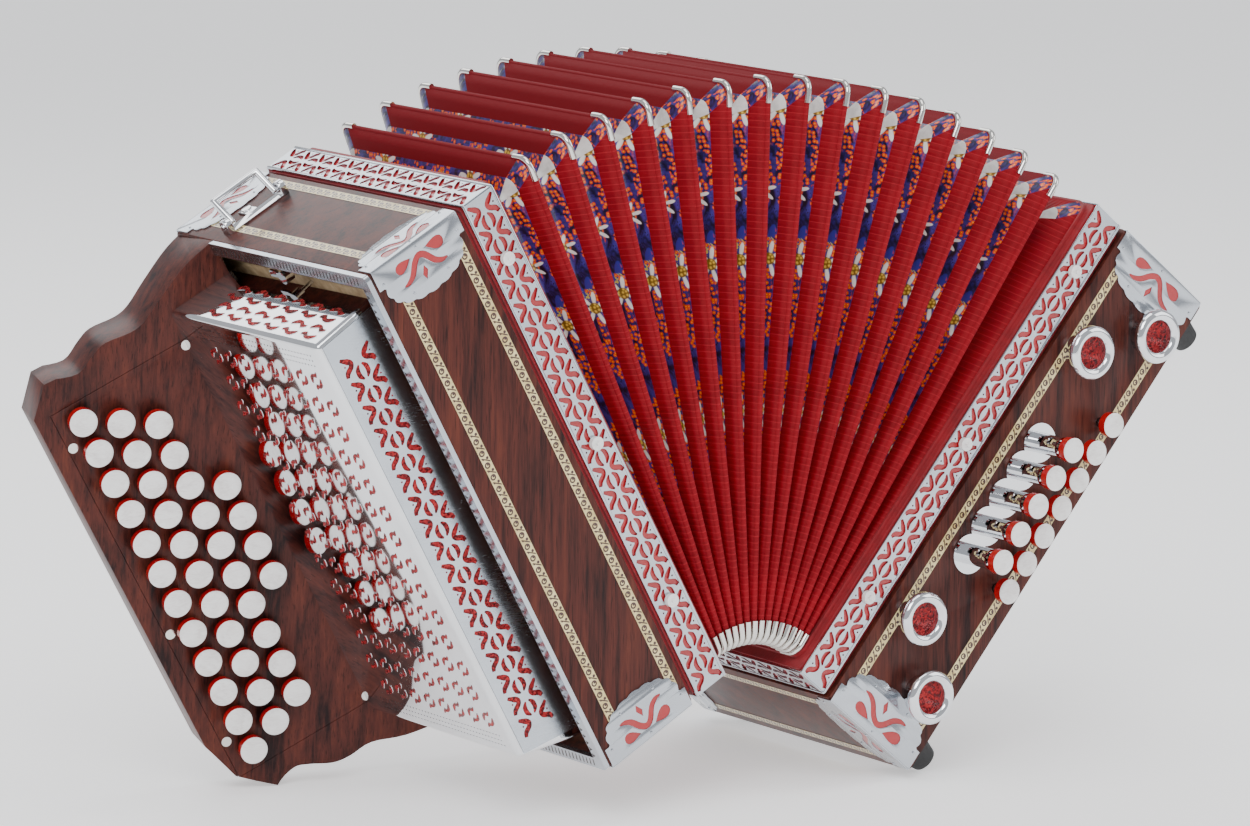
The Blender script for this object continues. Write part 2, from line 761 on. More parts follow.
def inlay_strips(name, casing_x, offsets, place, body, reach):
    """Scroll banding on the front, upper, lower and back faces of a casing."""
    strips = []
    thick = 0.25
    half = 3.1
    for offset in offsets:
        x = casing_x + offset
        for origin, along, across, length in (
            ((x, -0.02, reach), (0, 0, 1), (1, 0, 0), CASING_H - 2 * reach),
            ((x, CASING_D + 0.02, reach), (0, 0, 1), (-1, 0, 0), CASING_H - 2 * reach),
            ((x, reach, CASING_H + 0.02), (0, 1, 0), (-1, 0, 0), CASING_D - 2 * reach),
            ((x, reach, -0.02), (0, 1, 0), (1, 0, 0), CASING_D - 2 * reach),
        ):
            strip = cutout(name, [[(0, -half), (length, -half), (length, half), (0, half)]], thick, 0.05)
            slab_uv(strip)
            frame_at = plane_frame(origin, along, across)
            out = frame_at.to_3x3() @ Vector((0, 0, 1))
            centre = Vector((casing_x + 30, CASING_D / 2, CASING_H / 2))
            if out.dot(Vector(origin) - centre) < 0:
                frame_at = plane_frame(origin, along, -Vector(across))
            strip.data.transform(frame_at @ Matrix.Translation((0, 0, -thick * 0.4)))
            strips.append(strip)
    piece = joined(name, strips)
    return own(piece, place, body, "rosewood", "inlay")


# --------------------------------------------------------------- pierced plates

TENDRIL = [(-17, 18.5), (-12.5, 18.2), (-8.0, 15.6), (-3.5, 9.6), (0.5, 7.6), (5.0, 10.2), (9.5, 15.6),
           (14, 18.2), (18, 18.6)]
TENDRIL_W = [1.0, 3.2, 3.9, 4.1, 4.0, 4.1, 3.9, 3.0, 0.8]


def teardrop(cx, cy, length, width, angle):
    """A drop with its point at (cx, cy), angle in degrees towards its head."""
    outline = []
    for k in range(16):
        t = 2 * math.pi * k / 16
        x = length * (0.5 - 0.5 * math.cos(t))
        y = width * 0.62 * math.sin(t) * (math.sin(t / 2) ** 1.3)
        outline.append((x, y))
    a = math.radians(angle)
    return [
        (cx + x * math.cos(a) - y * math.sin(a), cy + x * math.sin(a) + y * math.cos(a))
        for x, y in outline
    ]


def lozenge(cx, cy, length, width, angle):
    a = math.radians(angle)
    shape = [(-0.5, 0), (-0.1, 0.5), (0.5, 0), (0.1, -0.5)]
    return [
        (cx + length * x * math.cos(a) - width * y * math.sin(a),
         cy + length * x * math.sin(a) + width * y * math.cos(a))
        for x, y in shape
    ]


def crown_outline(width, rim, crown):
    """A corner plate's edge: a straight foot, short shoulders and a scalloped crown."""
    half = width / 2
    points = [(-half, 0), (half, 0), (half, rim), (half - 3, rim)]
    lobes = 9
    radius = half - 4.5
    for k in range(lobes):
        a0 = math.pi * k / lobes
        a1 = math.pi * (k + 1) / lobes
        for t in (0.05, 0.28, 0.5, 0.72, 0.95):
            a = a0 + (a1 - a0) * t
            swell = 1 + 0.055 * math.sin(math.pi * t)
            flat = abs(math.sin(a)) ** 0.75
            points.append((radius * swell * math.cos(a), rim + (crown - rim) * swell * flat / 1.055))
    points += [(-half + 3, rim), (-half, rim)]
    return points


def corner_leaf(width, rim, crown, thick):
    """One face of a corner plate, and the red enamel that shows through it."""
    grow = width / 63 * 0.92
    deep = crown / 31
    line = smooth_line([(x * grow, y * deep) for x, y in TENDRIL], 3)
    holes = [
        ribbon(line, stretch(TENDRIL_W, len(line))),
        teardrop(-5.5 * grow, 5.6 * deep, 14 * grow, 8.6, 166),
        teardrop(6.5 * grow, 6.0 * deep, 13 * grow, 7.6, 14),
        lozenge(1.0, 18.5 * deep, 9, 4.2, 80),
    ]
    plate = cutout("corner", [crown_outline(width, rim, crown)] + holes, thick, 0.12)
    backing = cutout("corner_back", [crown_outline(width - 3, rim - 1, crown - 2)], thick * 0.45, 0.02)
    nails = []
    spots = ((-width / 2 + 4, rim - 2.5), (width / 2 - 4, rim - 2.5), (-14 * grow, crown * 0.80),
             (14 * grow, crown * 0.80), (0, 2.4))
    for x, y in spots:
        nail = dome("nail", 0.9, 0.7, 8)
        nail.data.transform(Matrix.Translation((x, y, thick)))
        nails.append(nail)
    return joined("corner", [plate] + nails), backing


def stretch(values, count):
    """Values spread evenly over count places."""
    found = []
    for k in range(count):
        t = k / (count - 1) * (len(values) - 1)
        i = min(int(t), len(values) - 2)
        found.append(values[i] + (values[i + 1] - values[i]) * (t - i))
    return found


def dome(name, radius, height, sides=12):
    """A shallow round head on the plane z = 0."""
    bpy.ops.mesh.primitive_uv_sphere_add(segments=sides, ring_count=6, radius=1)
    piece = bpy.context.object
    piece.name = name
    select_only(piece)
    bpy.ops.object.mode_set(mode="EDIT")
    bpy.ops.mesh.select_all(action="SELECT")
    bpy.ops.mesh.bisect(plane_co=(0, 0, -0.3), plane_no=(0, 0, 1), clear_inner=True, use_fill=True)
    bpy.ops.object.mode_set(mode="OBJECT")
    piece.data.transform(Matrix.Diagonal((radius, radius, height, 1)))
    return piece


def make_corner_plates(side, casing_x, width, place, body):
    """Four L-shaped corner plates of one casing, and their enamel."""
    thick = 0.8
    plates, backs = [], []
    centre = casing_x + width / 2
    for back in (0, 1):
        for low in (0, 1):
            flip = Matrix.Diagonal((1, -1 if back else 1, -1 if low else 1, 1))
            shift = Matrix.Translation((0, CASING_D * back, CASING_H * low))
            for face in ("front", "top"):
                rim, crown = (12, 31) if face == "front" else (12, 28)
                plate, backing = corner_leaf(width - 3, rim, crown, thick)
                if face == "front":
                    put = plane_frame((centre, 0, CASING_H), (-1, 0, 0), (0, 0, -1))
                else:
                    put = plane_frame((centre, 0, CASING_H), (1, 0, 0), (0, 1, 0))
                for item, group in ((plate, plates), (backing, backs)):
                    item.data.transform(put)
                    item.data.transform(shift @ flip)
                    if (shift @ flip).determinant() < 0:
                        item.data.flip_normals()
                    group.append(item)
            corner = Matrix.Translation((casing_x + 1.5, -0.8, CASING_H - 0.8))
            lip = bar_mesh("lip", (width - 3, 1.6, 1.6), corner, 0.7)
            lip.data.transform(shift @ flip)
            if (shift @ flip).determinant() < 0:
                lip.data.flip_normals()
            plates.append(lip)
    piece = joined(f"{side}_corner_plate_set", plates)
    own(piece, place, body, "nickel", "nickel", smooth=30)
    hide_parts(f"{side}_corner_plates")
    enamel = joined(f"{side}_corner_enamel", backs)
    own(enamel, place, body, "red_cloth", "enamel")


# Steps of the pierced band: bent leaves at both edges, split lenses between them
BAND_PITCH = 15.8


def band_leaves(edge, squeeze=1.0):
    """The bent leaf of one band step and its nail hole, on the +y side."""
    line = [(-6.4, edge - 1.9), (-3.7, edge - 3.2), (-1.7, edge - 6.4), (0.5, edge - 7.4),
            (2.5, edge - 5.6), (5.6, edge - 1.7)]
    bent = smooth_line([(x * squeeze, y) for x, y in line], 3)
    nail = [(x + 0.4, y + edge - 3.0) for x, y in arc(0, 0, 0.62, 0, 300, 5)]
    return [ribbon(bent, stretch([2.2, 3.4, 3.3, 3.1, 3.5, 1.8], len(bent))), nail]


def band_lens(squeeze=1.0):
    """The upper half of a split lens, on the +y side."""
    half = [(-4.7, 1.1), (-1.9, 3.0), (1.9, 3.0), (4.7, 1.1)]
    line = smooth_line([(x * squeeze, y) for x, y in half], 3)
    return [ribbon(line, stretch([0.9, 3.0, 3.0, 0.9], len(line)))]


def shifted(points, dx, dy=0.0):
    return [(x + dx, y + dy) for x, y in points]


def band_holes(length, edge):
    """All holes of a strip from x = 0 to length, with y across the strip."""
    count = max(1, round(length / BAND_PITCH))
    pitch = length / count
    squeeze = pitch / BAND_PITCH
    holes = []
    for k in range(count):
        for shape in band_leaves(edge, squeeze):
            holes += [shifted(shape, (k + 0.5) * pitch), shifted(mirrored(shape, y=-1), (k + 0.5) * pitch)]
        if k:
            for shape in band_lens(squeeze):
                holes += [shifted(shape, k * pitch), shifted(mirrored(shape, y=-1), k * pitch)]
    return holes


def pierced_strip(name, length, width, thick):
    """A pierced strip along x from 0 to length, centred across y."""
    half = width / 2
    outline = [(0, -half), (length, -half), (length, half), (0, half)]
    return cutout(name, [outline] + band_holes(length, half), thick)


def band_edges():
    """Face by face round a casing: origin, directions along and across, and length."""
    return (
        ((0, 0, 0), (0, 0, 1), (-1, 0, 0), CASING_H),
        ((0, 0, CASING_H), (0, 1, 0), (-1, 0, 0), CASING_D),
        ((0, CASING_D, CASING_H), (0, 0, -1), (-1, 0, 0), CASING_H),
        ((0, CASING_D, 0), (0, -1, 0), (-1, 0, 0), CASING_D),
    )


def make_frame_band(side, x, place, body):
    """The pierced metal band round a bellows frame, its rails and its red lining."""
    thick = 0.9
    band, lining = [], []
    for (ox, oy, oz), along, across, length in band_edges():
        origin = Vector((x + FRAME_W / 2 + ox, oy, oz))
        face = plane_frame(origin, along, across)
        inward = -(face.to_3x3() @ Vector((0, 0, 1)))
        centre = Vector((x, CASING_D / 2, CASING_H / 2))
        if inward.dot(centre - origin) < 0:
            face = plane_frame(origin, along, -Vector(across))
        strip = pierced_strip("band", length - 2.4, FRAME_W - 3.6, thick)
        strip.data.transform(face @ Matrix.Translation((1.2, 0, -1.4)))
        band.append(strip)
        for rail_y in (-FRAME_W / 2 + 1.9, FRAME_W / 2 - 1.9):
            start = Matrix.Translation((0.6, rail_y - 0.9, -1.7))
            rail = bar_mesh("rail", (length - 1.2, 1.8, 1.7), start, 0.6)
            rail.data.transform(face)
            band.append(rail)
        back = cutout("lining", [[(1, -FRAME_W / 2 + 1.2), (length - 1, -FRAME_W / 2 + 1.2),
                                  (length - 1, FRAME_W / 2 - 1.2), (1, FRAME_W / 2 - 1.2)]], 0.3)
        back.data.transform(face @ Matrix.Translation((0, 0, -2.0)))
        lining.append(back)
    piece = joined(f"{side}_frame_pierced_band", band)
    own(piece, place, body, "nickel", "nickel", smooth=30)
    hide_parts(f"{side}_frame_band")
    cloth = joined(f"{side}_frame_lining", lining)
    own(cloth, place, body, "red_cloth", "enamel")


# ---------------------------------------------------------------------- bellows


def ring_points(x, inset, radius, corner_steps=4):
    """The bends of the folds' outline, drawn in by inset: points with their corner's number."""
    y0, y1 = FOLD_Y + inset, CASING_D - FOLD_Y - inset
    z0, z1 = FOLD_Z0 + inset, FOLD_TOP - inset
    found = []
    corners = ((y0, z1, 180, 90), (y1, z1, 90, 0), (y1, z0, 0, -90), (y0, z0, -90, -180))
    for sy, (cy, cz, a0, a1) in enumerate(corners):
        oy = cy + radius if cy == y0 else cy - radius
        oz = cz + radius if cz == z0 else cz - radius
        for y, z in arc(oy, oz, radius, a0, a1, corner_steps):
            found.append(((x, y, z), sy))
    return found


SIDE_CUT = 26   # steps along the long sides
END_CUT = 16    # steps along the short sides


def ring_line(x, inset, radius):
    """The whole outline as one loop. Each point comes with its zone, 0 on a side and 1
    inside a bend, its side's number, and how far round a bend it lies, or None."""
    loop = []
    corners = ring_points(x, inset, radius)
    steps = len(corners) // 4
    for side in range(4):
        bend = corners[side * steps:(side + 1) * steps]
        for k, (point, _) in enumerate(bend):
            loop.append((Vector(point), 1 if 0 < k < steps - 1 else 0, side, k / (steps - 1)))
        start = Vector(bend[-1][0])
        stop = Vector(corners[((side + 1) % 4) * steps][0])
        cuts = END_CUT if side % 2 == 0 else SIDE_CUT
        for k in range(1, cuts):
            loop.append((start.lerp(stop, k / cuts), 0, side, None))
    return loop


def make_cards(n):
    """The cards, tape, paper and gussets between bellows bodies n and n + 1."""
    hinge = Vector((FOLD_X0 + n * FOLD_T, CASING_D / 2, FOLD_Z0))
    half_turn = Matrix.Translation(hinge) @ Matrix.Rotation(STEP / 2, 4, "Y") @ Matrix.Translation(-hinge)
    left_x = FOLD_X0 + n * FOLD_T - FOLD_GAP / 2
    if n == 0:
        left_x = FOLD_X0 - 0.05
    right_x = FOLD_X0 + n * FOLD_T + FOLD_GAP / 2
    if n == FOLDS:
        right_x = FOLD_X0 + n * FOLD_T + 0.05
    left = FAN[n]
    right = FAN[n + 1]
    middle = FAN[n] @ half_turn
    hinge_x = FOLD_X0 + n * FOLD_T
    # how far in each ring lies, and the radius of its bends
    crest_in, tape_in, valley_in = 1.2, 10.5, 21.0
    rings = []
    for share in (0.0, 0.5, 1.0):
        rings.append((crest_in + (tape_in - crest_in) * share, FOLD_R * (1 - 0.06 * share)))
    for share in (0.25, 0.6, 1.0):
        rings.append((tape_in + (valley_in - tape_in) * share, FOLD_R * 0.94 * (1 - 0.75 * share)))
    span = valley_in - crest_in
    loops = []
    uvs = []
    for which in ("left", "right"):
        order = rings if which == "left" else rings[:-1][::-1]
        for inset, radius in order:
            t = (inset - crest_in) / span
            edge_x = left_x if which == "left" else right_x
            edge = left if which == "left" else right
            outer = ring_line(edge_x, inset, max(radius, 0.8))
            inner = ring_line(hinge_x, inset, max(radius, 0.8))
            points = []
            for (a, zone, side, run), (b, _, _, _) in zip(outer, inner):
                points.append((edge @ a).lerp(middle @ b, t))
            loops.append(points)
            uvs.append([(a, zone, side, run, t, which) for a, zone, side, run in outer])
    count = len(loops[0])
    mesh = bmesh.new()
    uv_layer = mesh.loops.layers.uv.new("UVMap")
    rows = [[mesh.verts.new(p) for p in points] for points in loops]
    for r in range(len(rows) - 1):
        inset_now = uvs[r][0][4]
        inset_next = uvs[r + 1][0][4]
        depth = (inset_now + inset_next) / 2
        which = uvs[r][0][5] if uvs[r][0][5] == uvs[r + 1][0][5] else "right"
        for k in range(count):
            m = (k + 1) % count
            face = mesh.faces.new((rows[r][k], rows[r][m], rows[r + 1][m], rows[r + 1][k]))
            on_bend = uvs[r][k][3] is not None and uvs[r][m][3] is not None
            in_corner = uvs[r][k][1] or uvs[r][m][1] or on_bend
            side = uvs[r][k][2]
            end_card = (n == 0 and which == "left") or (n == FOLDS and which == "right")
            if depth < (tape_in - crest_in) / span:
                long_side = side % 2 == 1 and not in_corner
                face.material_index = 1 if (end_card and not in_corner) else (0 if long_side else 2)
                if in_corner:
                    face.material_index = 3
            elif in_corner:
                face.material_index = 4
            elif end_card:
                face.material_index = 1
            else:
                face.material_index = 3
            face.smooth = True
            for loop, (row, col) in zip(face.loops, ((r, k), (r, m), (r + 1, m), (r + 1, k))):
                a = uvs[row][col][0]
                along = a.z if side % 2 == 1 else a.y
                if in_corner:
                    along = a.y + a.z
                across = uvs[row][col][4] * span * (1 if which == "left" else -1)
                loop[uv_layer].uv = (along + 500 * (side % 4), across)
    bmesh.ops.recalc_face_normals(mesh, faces=mesh.faces)
    piece = from_mesh(f"bellows_cards_{n:02d}", mesh)
    data = piece.data
    for paint in ("ribbed", "ribbed", "tape", "paper", "gusset"):
        data.materials.append(PAINTS[paint])
    centre = sum((v.co for v in data.vertices), Vector()) / len(data.vertices)
    outward = sum(((v.co - centre).dot(v.normal) for v in data.vertices), 0.0)
    if outward < 0:
        data.flip_normals()
    applied(piece, "SOLIDIFY", thickness=0.0006, offset=-1)
    bpy.ops.object.select_all(action="DESELECT")
    normal = middle.to_3x3() @ Vector((1, 0, 0))
    normal.normalize()
    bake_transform(piece)
    return piece


def make_crests():
    """The taped ridge of each fold, with bent nickel rods at its corners."""
    half = FOLD_T / 2 - FOLD_GAP / 2 + 0.05
    mesh = bmesh.new()
    uv_layer = mesh.loops.layers.uv.new("UVMap")
    centre_x = FOLD_T / 2
    profile = [(-half, 9.0), (-half, 3.2)]
    turn = [math.radians(180 - 30 * k) for k in range(7)]
    profile += [(half * math.cos(a), 1.5 - 1.5 * math.sin(a)) for a in turn]
    profile += [(half, 3.2), (half, 9.0)]
    rows = []
    for dx, inset in profile:
        loop = ring_line(centre_x + dx, inset, max(FOLD_R - inset * 0.2, 1))
        rows.append([(mesh.verts.new(p), p, zone, side, run) for p, zone, side, run in loop])
    count = len(rows[0])
    for r in range(len(rows) - 1):
        for k in range(count):
            m = (k + 1) % count
            face = mesh.faces.new((rows[r][k][0], rows[r][m][0], rows[r + 1][m][0], rows[r + 1][k][0]))
            side = rows[r][k][3]
            on_bend = rows[r][k][4] is not None and rows[r][m][4] is not None
            corner = rows[r][k][2] or rows[r][m][2] or on_bend
            face.material_index = 0 if side % 2 == 1 and not corner else 1
            face.smooth = True
            for loop, (row, col) in zip(face.loops, ((r, k), (r, m), (r + 1, m), (r + 1, k))):
                p = rows[row][col][1]
                along = p.z if side % 2 == 1 else p.y
                loop[uv_layer].uv = (along + 500 * side, row * 1.5)
    bmesh.ops.recalc_face_normals(mesh, faces=mesh.faces)
    crest = from_mesh("crest", mesh)
    rods = []
    leg = 14
    rod_r = 1.9
    bend_r = 7.0
    for back in (0, 1):
        for low in (0, 1):
            path = [(leg, 0.6)] + arc(bend_r, bend_r, bend_r - 0.6, 270, 180, 6) + [(0.6, leg)]
            curve = bpy.data.curves.new("rod", "CURVE")
            curve.dimensions = "3D"
            curve.bevel_depth = rod_r
            curve.bevel_resolution = 3
            curve.use_fill_caps = True
            spline = curve.splines.new("POLY")
            spline.points.add(len(path) - 1)
            for point, (a, b) in zip(spline.points, path):
                y = FOLD_Y + a if not back else CASING_D - FOLD_Y - a
                z = FOLD_TOP - b if not low else FOLD_Z0 + b
                point.co = (centre_x, y, z, 1)
            select_only(linked("rod", curve))
            bpy.ops.object.convert(target="MESH")
            rods.append(bpy.context.view_layer.objects.active)
    rod_set = joined("rods", rods)
    for n in range(1, FOLDS + 1):
        place = FAN[n] @ Matrix.Translation((FOLD_X0 + (n - 1) * FOLD_T, 0, 0))
        ridge = copied(crest, Matrix.Identity(4))
        ridge.name = f"bellows_crest_{n:02d}"
        own(ridge, place, BODIES[n], "bellows", "ribbed", "tape")
        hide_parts(f"bellows_fold_{n:02d}")
        corner = copied(rod_set, Matrix.Identity(4))
        corner.name = f"bellows_corners_{n:02d}"
        own(corner, place, BODIES[n], "nickel", "rod", smooth=50)
    dropped(crest)
    dropped(rod_set)


# ---------------------------------------------------------------------- buttons


# The pearl's steps from its rim inwards: how far in, how far up
CROWN_STEPS = ((0.35, 0.25), (0.5, 0.25), (1.2, 0.12), (3.2, 0.10))
CROWN = 0.72
BUTTON_PITCH = 21.25
ROW_PITCH = 19
ROW_DROP = 12.2
BASS_PITCH = 20.2
BASS_BUTTON_D = 15
BASS_BUTTON_T = 6


def cap_mesh(name, diameter, thick, stem):
    """A red button with a domed pearl top, its face on z = 0 and its underside at -thick."""
    skirt = thick - CROWN
    bpy.ops.mesh.primitive_cylinder_add(vertices=40, radius=diameter / 2, depth=skirt)
    piece = bpy.context.object
    piece.name = name
    piece.data.transform(Matrix.Translation((0, 0, -skirt / 2)))
    select_only(piece)
    bpy.ops.object.mode_set(mode="EDIT")
    mesh = bmesh.from_edit_mesh(piece.data)
    for face in mesh.faces:
        face.select = face.normal.z > 0.9
    bmesh.update_edit_mesh(piece.data)
    for inset, rise in CROWN_STEPS:
        bpy.ops.mesh.inset(thickness=inset)
        bpy.ops.transform.translate(value=(0, 0, rise))
    bpy.ops.object.mode_set(mode="OBJECT")
    for face in piece.data.polygons:
        face.material_index = 1 if face.center.z > 0.05 else 0
    piece.data.transform(Matrix.Translation((0, 0, -CROWN)))
    bpy.ops.mesh.primitive_cylinder_add(vertices=16, radius=2.5, depth=stem)
    post = bpy.context.object
    post.data.transform(Matrix.Translation((0, 0, -thick - stem / 2)))
    for face in post.data.polygons:
        face.material_index = 2
    for paint in ("button_red", "pearl", "steel"):
        for item in (piece, post):
            item.data.materials.append(PAINTS[paint])
    return joined(name, [piece, post])


ROW_COUNT = (12, 11, 10, 4)
ROW_START = (0, 0, 0, 2)


def make_treble_buttons():
    face = -BUTTON_RISE - BUTTON_T
    cap = cap_mesh("cap", BUTTON_D, BUTTON_T, BUTTON_RISE + 6)
    outward = Matrix.Rotation(math.radians(90), 4, "X")
    for row in range(4):
        caps = []
        for i in range(ROW_COUNT[row]):
            x = -115 + row * ROW_PITCH
            z = CASING_H - 54 - (ROW_START[row] + i) * BUTTON_PITCH - row * ROW_DROP
            caps.append(copied(cap, Matrix.Translation((x, face, z)) @ outward))
        piece = joined(f"treble_button_caps_{row + 1}", caps)
        body = f"treble_buttons_{row + 1}"
        own(piece, BOARD, body, "pearl", "button_red", "pearl", "steel", smooth=40)
        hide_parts(f"treble_buttons_row_{row + 1}")
    dropped(cap)


def make_bass_buttons():
    outward = Matrix.Rotation(math.radians(90), 4, "X")
    for i in range(7):
        z = CASING_H / 2 + 10 + (3 - i) * BASS_PITCH
        cap = cap_mesh("cap", BASS_BUTTON_D, BASS_BUTTON_T, 16)
        cap.data.transform(Matrix.Translation((BASS_X + 61, -14, z)) @ outward)
        cap.name = f"bass_cap_outer_{i + 1}"
        own(cap, BASS, f"bass_button_outer_{i + 1}", "pearl", "button_red", "pearl", "steel", smooth=40)
        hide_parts(f"bass_button_outer_{i + 1}")
    caps = []
    for i in range(5):
        z = CASING_H / 2 - 6 + (2 - i) * BASS_PITCH
        cap = cap_mesh("cap", BASS_BUTTON_D, BASS_BUTTON_T, 36)
        cap.data.transform(Matrix.Translation((BASS_X + 30, -34, z)) @ outward)
        caps.append(cap)
    inner = joined("bass_caps_inner", caps)
    own(inner, BASS, "bass_buttons_inner", "pearl", "button_red", "pearl", "steel", smooth=40)
    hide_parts("bass_buttons_inner_row")


# ------------------------------------------------------------- hood, trim, horns

HOOD_X = -39.4
HOOD_Y = 20
HOOD_PROFILE = ((10, 15), (HOOD_X, 31), (HOOD_X, 315), (10, 319))
SWIRL = [(-4.6, -1.6), (-2.6, 0.6), (0.2, 1.7), (2.4, 0.9), (4.6, 2.2)]


def board_y(x):
    return BOARD_Y - x * math.tan(BOARD_TILT)


def make_hood():
    """The chrome hood: a rounded shell with a pierced satin front strip."""
    mesh = bmesh.new()
    front = [mesh.verts.new((x, HOOD_Y, z)) for x, z in HOOD_PROFILE]
    back = [mesh.verts.new((x, board_y(x) - 0.3, z)) for x, z in HOOD_PROFILE]
    mesh.faces.new(front)
    for k in (0, 1, 2):
        mesh.faces.new((front[k], back[k], back[k + 1], front[k + 1]))
    bmesh.ops.recalc_face_normals(mesh, faces=mesh.faces)
    middle = Vector((0, 90, 170))
    for face in mesh.faces:
        if (face.calc_center_median() - middle).dot(face.normal) < 0:
            face.normal_flip()
    edges = [edge for edge in mesh.edges if len(edge.link_faces) == 2]
    bmesh.ops.bevel(mesh, geom=edges, offset=3.2, segments=5, profile=0.5, affect="EDGES")
    hood = from_mesh("hood_shell", mesh)
    applied(hood, "SOLIDIFY", thickness=1.2, offset=-1)
    own(hood, TREBLE, "treble_side", "mirror_chrome", "chrome", smooth=40)
    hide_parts("grille_hood")

    low, high = 38, 302
    face = plane_frame((-19.5, HOOD_Y, low), (0, 0, 1), (1, 0, 0))
    if face.to_3x3()[1][2] > 0:
        face = plane_frame((-19.5, HOOD_Y, low), (0, 0, 1), (-1, 0, 0))
    length = high - low
    outline = [(-6, -16), (length + 10, -16), (length + 13, 24), (-14, 24)]
    if face.to_3x3()[0][1] < 0:
        outline = mirrored(outline, y=-1)
    holes = band_holes(length, 12.2)
    satin = cutout("hood_front_strip", [outline] + holes, 0.5)
    satin.data.transform(Matrix.Translation((0, 0, 0.25)))
    own(satin, TREBLE @ face, "treble_side", "nickel", "satin", smooth=30)
    red = cutout("hood_front_foil", [[(0, -12.4), (length, -12.4), (length, 12.4), (0, 12.4)]], 0.2)
    own(red, TREBLE @ face, "treble_side", "red_cloth", "foil")


def swirl_set(name, scale):
    """Two facing swirls, the small motif of the hood's sides."""
    line = smooth_line([(x * scale, y * scale + 1.7 * scale) for x, y in SWIRL], 2)
    shape = ribbon(line, [w * scale for w in stretch([0.9, 2.2, 1.6, 2.1, 0.8], len(line))])
    pieces = []
    for outline in (shape, mirrored(shape, x=-1, y=-1)):
        pieces.append(cutout(name, [outline], 0.3))
    return joined(name, pieces)


def rimmed(piece, grow):
    """A slightly larger, thinner twin that shows as a bright rim."""
    twin = copied(piece, Matrix.Identity(4))
    applied(twin, "DISPLACE", strength=grow, mid_level=0)
    twin.data.transform(Matrix.Diagonal((1, 1, 0.4, 1)))
    return twin


def make_hood_motifs():
    swirl = swirl_set("swirl", 1.15)
    rim = rimmed(swirl, 0.35)
    motifs, rims = [], []
    side = plane_frame((HOOD_X, 0, 0), (0, -1, 0), (0, 0, 1))
    for row in range(14):
        z = 56 + row * 18.0
        for col in range(8):
            y = 34 + col * 15.2 + (row % 2) * 3
            put = side @ Matrix.Translation((-y, z, 0)) @ Matrix.Rotation(0.35, 4, "Z")
            motifs.append(copied(swirl, put))
            rims.append(copied(rim, put))
    large = swirl_set("swirl_large", 1.5)
    large_rim = rimmed(large, 0.4)
    for end, (z0, z1) in enumerate(((315, 319), (31, 15))):
        up = Vector((49.4, 0, z1 - z0)).normalized()
        sign = 1 if end == 0 else -1
        face = plane_frame((HOOD_X, 0, z0), up, (0, sign, 0))
        for row in range(2):
            for col in range(6):
                y = (36 + col * 19.5) * sign
                put = face @ Matrix.Translation((11 + row * 15, y, 0)) @ Matrix.Rotation(1.2, 4, "Z")
                motifs.append(copied(large, put))
                rims.append(copied(large_rim, put))
    own(joined("hood_motifs", motifs), TREBLE, "treble_side", "red_cloth", "foil")
    own(joined("hood_motif_rims", rims), TREBLE, "treble_side", "mirror_chrome", "chrome")
    for piece in (swirl, rim, large, large_rim):
        dropped(piece)

    dot = arc(0, 0, 0.6, 0, 300, 5)
    stipple = []
    for z in (38, 41.5, 45, 301, 304.5, 308):
        for k in range(40):
            y = 30 + k * 3.2 + (z % 2) * 0.8
            stipple.append((side @ Matrix.Translation((-y, z, 0.02)), dot))
    own(flat_marks("hood_stipple", stipple), TREBLE, "treble_side", "rosewood", "shadow")


def flat_marks(name, marks):
    """One mesh of small flat marks: each a matrix and its outline."""
    mesh = bmesh.new()
    for place, outline in marks:
        mesh.faces.new([mesh.verts.new(place @ Vector((x, y, 0))) for x, y in outline])
    return from_mesh(name, mesh)


def make_trim_teeth():
    """Dark notches along the edge trim of the treble casing's outer side."""
    side = plane_frame((-3.05, 0, 0), (0, -1, 0), (0, 0, 1))
    marks = []
    tooth = [(-1.5, -1.5), (1.3, 0), (-1.5, 1.5)]
    slash = [(-2.6, -0.6), (2.2, 0.4), (2.4, 1.1), (-2.4, 0.5)]
    for k in range(70):
        marks.append((side @ Matrix.Translation((-6.0, 10 + k * 4.65, 0)), tooth))
    for z in (4.2, CASING_H - 4.2):
        for k in range(42):
            put = side @ Matrix.Translation((-10 - k * 3.5, z, 0)) @ Matrix.Rotation(1.1, 4, "Z")
            marks.append((put, slash))
    own(flat_marks("edge_trim_notches", marks), TREBLE, "treble_side", "rosewood", "shadow")


def lathe(name, profile, sides=48):
    """A turned piece round z from (radius, height) points."""
    mesh = bmesh.new()
    rings = []
    for radius, height in profile:
        turn = [2 * math.pi * k / sides for k in range(sides)]
        rings.append([mesh.verts.new((radius * math.cos(a), radius * math.sin(a), height)) for a in turn])
    for low, high in zip(rings, rings[1:]):
        for k in range(sides):
            mesh.faces.new((low[k], low[(k + 1) % sides], high[(k + 1) % sides], high[k]))
    mesh.faces.new(rings[0][::-1])
    mesh.faces.new(rings[-1])
    bmesh.ops.recalc_face_normals(mesh, faces=mesh.faces)
    return from_mesh(name, mesh)


